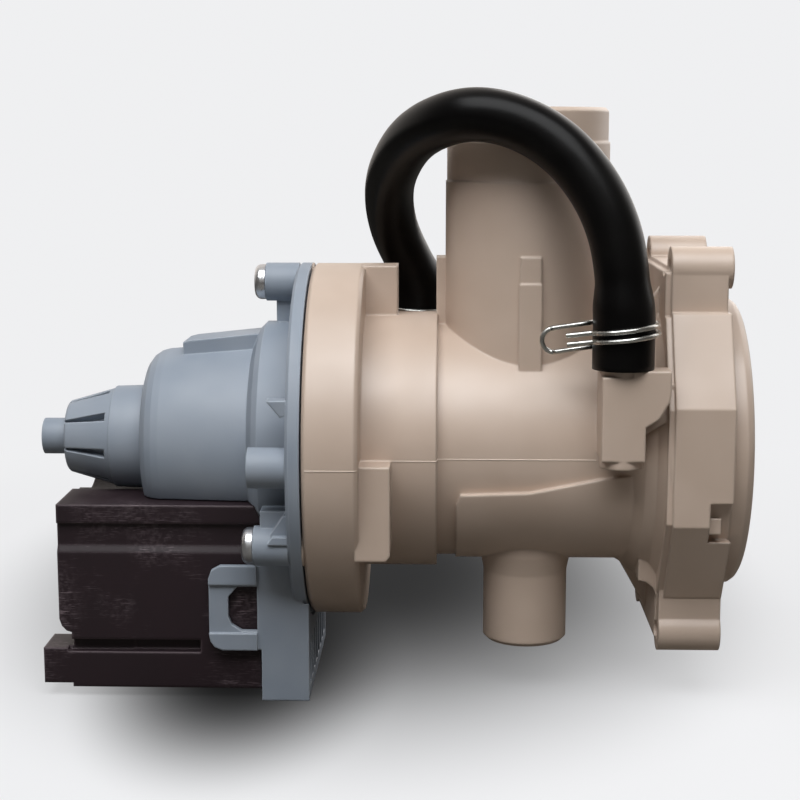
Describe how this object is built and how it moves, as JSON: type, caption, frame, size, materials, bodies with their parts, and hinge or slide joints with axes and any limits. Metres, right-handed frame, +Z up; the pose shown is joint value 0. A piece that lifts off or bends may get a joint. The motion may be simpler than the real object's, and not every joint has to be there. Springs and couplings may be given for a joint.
{
  "type": "washer drain pump",
  "caption": "Drain pump of a washing machine: moulded body with inlet, outlet and lint filter, impeller on a magnet rotor, clipped-on stator, bypass hose.",
  "frame": {"origin": "where the pump axis crosses the front face of the mounting flange", "axes": "+X along the pump axis from the motor to the filter cap, +Z up along the inlet spigot"},
  "size_m": [0.1842, 0.0928, 0.1552],
  "materials": {
    "body_plastic": "moulded satin",
    "motor_plastic": "moulded satin",
    "dark_plastic": "moulded satin",
    "white_plastic": "moulded satin",
    "basket_plastic": "moulded satin",
    "stator_resin": "moulded, scuffed",
    "seal_rubber": "smooth",
    "hose_rubber": "smooth",
    "zinc_steel": "zinc plated",
    "clamp_wire": "drawn wire",
    "ground_steel": "ground",
    "lamination_steel": "stamped",
    "ferrite": "sintered",
    "bush_carbon": "sintered",
    "enamelled_copper": "enamelled wire",
    "tinned_brass": "stamped"
  },
  "bodies": {
    "casing": {"pump_housing": "body_plastic", "motor_housing": "motor_plastic", "housing_gasket": "seal_rubber", "flange_screws": "zinc_steel", "front_bush": "bush_carbon", "rear_bush": "bush_carbon", "bearing_holder": "dark_plastic", "holder_seal": "seal_rubber", "stator_cover": "stator_resin", "lamination_stack": "lamination_steel", "near_bobbin": "white_plastic", "far_bobbin": "white_plastic", "near_winding": "enamelled_copper", "far_winding": "enamelled_copper", "connector_terminals": "tinned_brass", "bypass_hose": "hose_rubber", "front_hose_clamp": "clamp_wire", "rear_hose_clamp": "clamp_wire"},
    "rotor": {"rotor_magnet": "ferrite", "rotor_shaft": "ground_steel", "drive_dog": "white_plastic", "impeller_clip": "zinc_steel", "thrust_washers": "white_plastic"},
    "impeller_body": {"impeller": "white_plastic"},
    "basket": {"filter_insert": "basket_plastic"},
    "cap": {"filter_cap": "dark_plastic", "filter_seal": "seal_rubber"}
  },
  "joints": [
    {"name": "rotor_spin", "type": "hinge", "parent": "casing", "child": "rotor", "pos_m": [-0.11, 0, 0], "axis": [1, 0, 0], "continuous": true},
    {"name": "impeller_slip", "type": "hinge", "parent": "rotor", "child": "impeller_body", "pos_m": [-0.09, 0, 0], "axis": [1, 0, 0], "range_deg": [0, 180]},
    {"name": "filter_pull", "type": "slide", "parent": "casing", "child": "basket", "axis": [1, 0, 0], "range_m": [0, 0.075]},
    {"name": "filter_turn", "type": "hinge", "parent": "basket", "child": "cap", "pos_m": [-0.01, 0, 0], "axis": [1, 0, 0], "range_deg": [0, 90]}
  ]
}
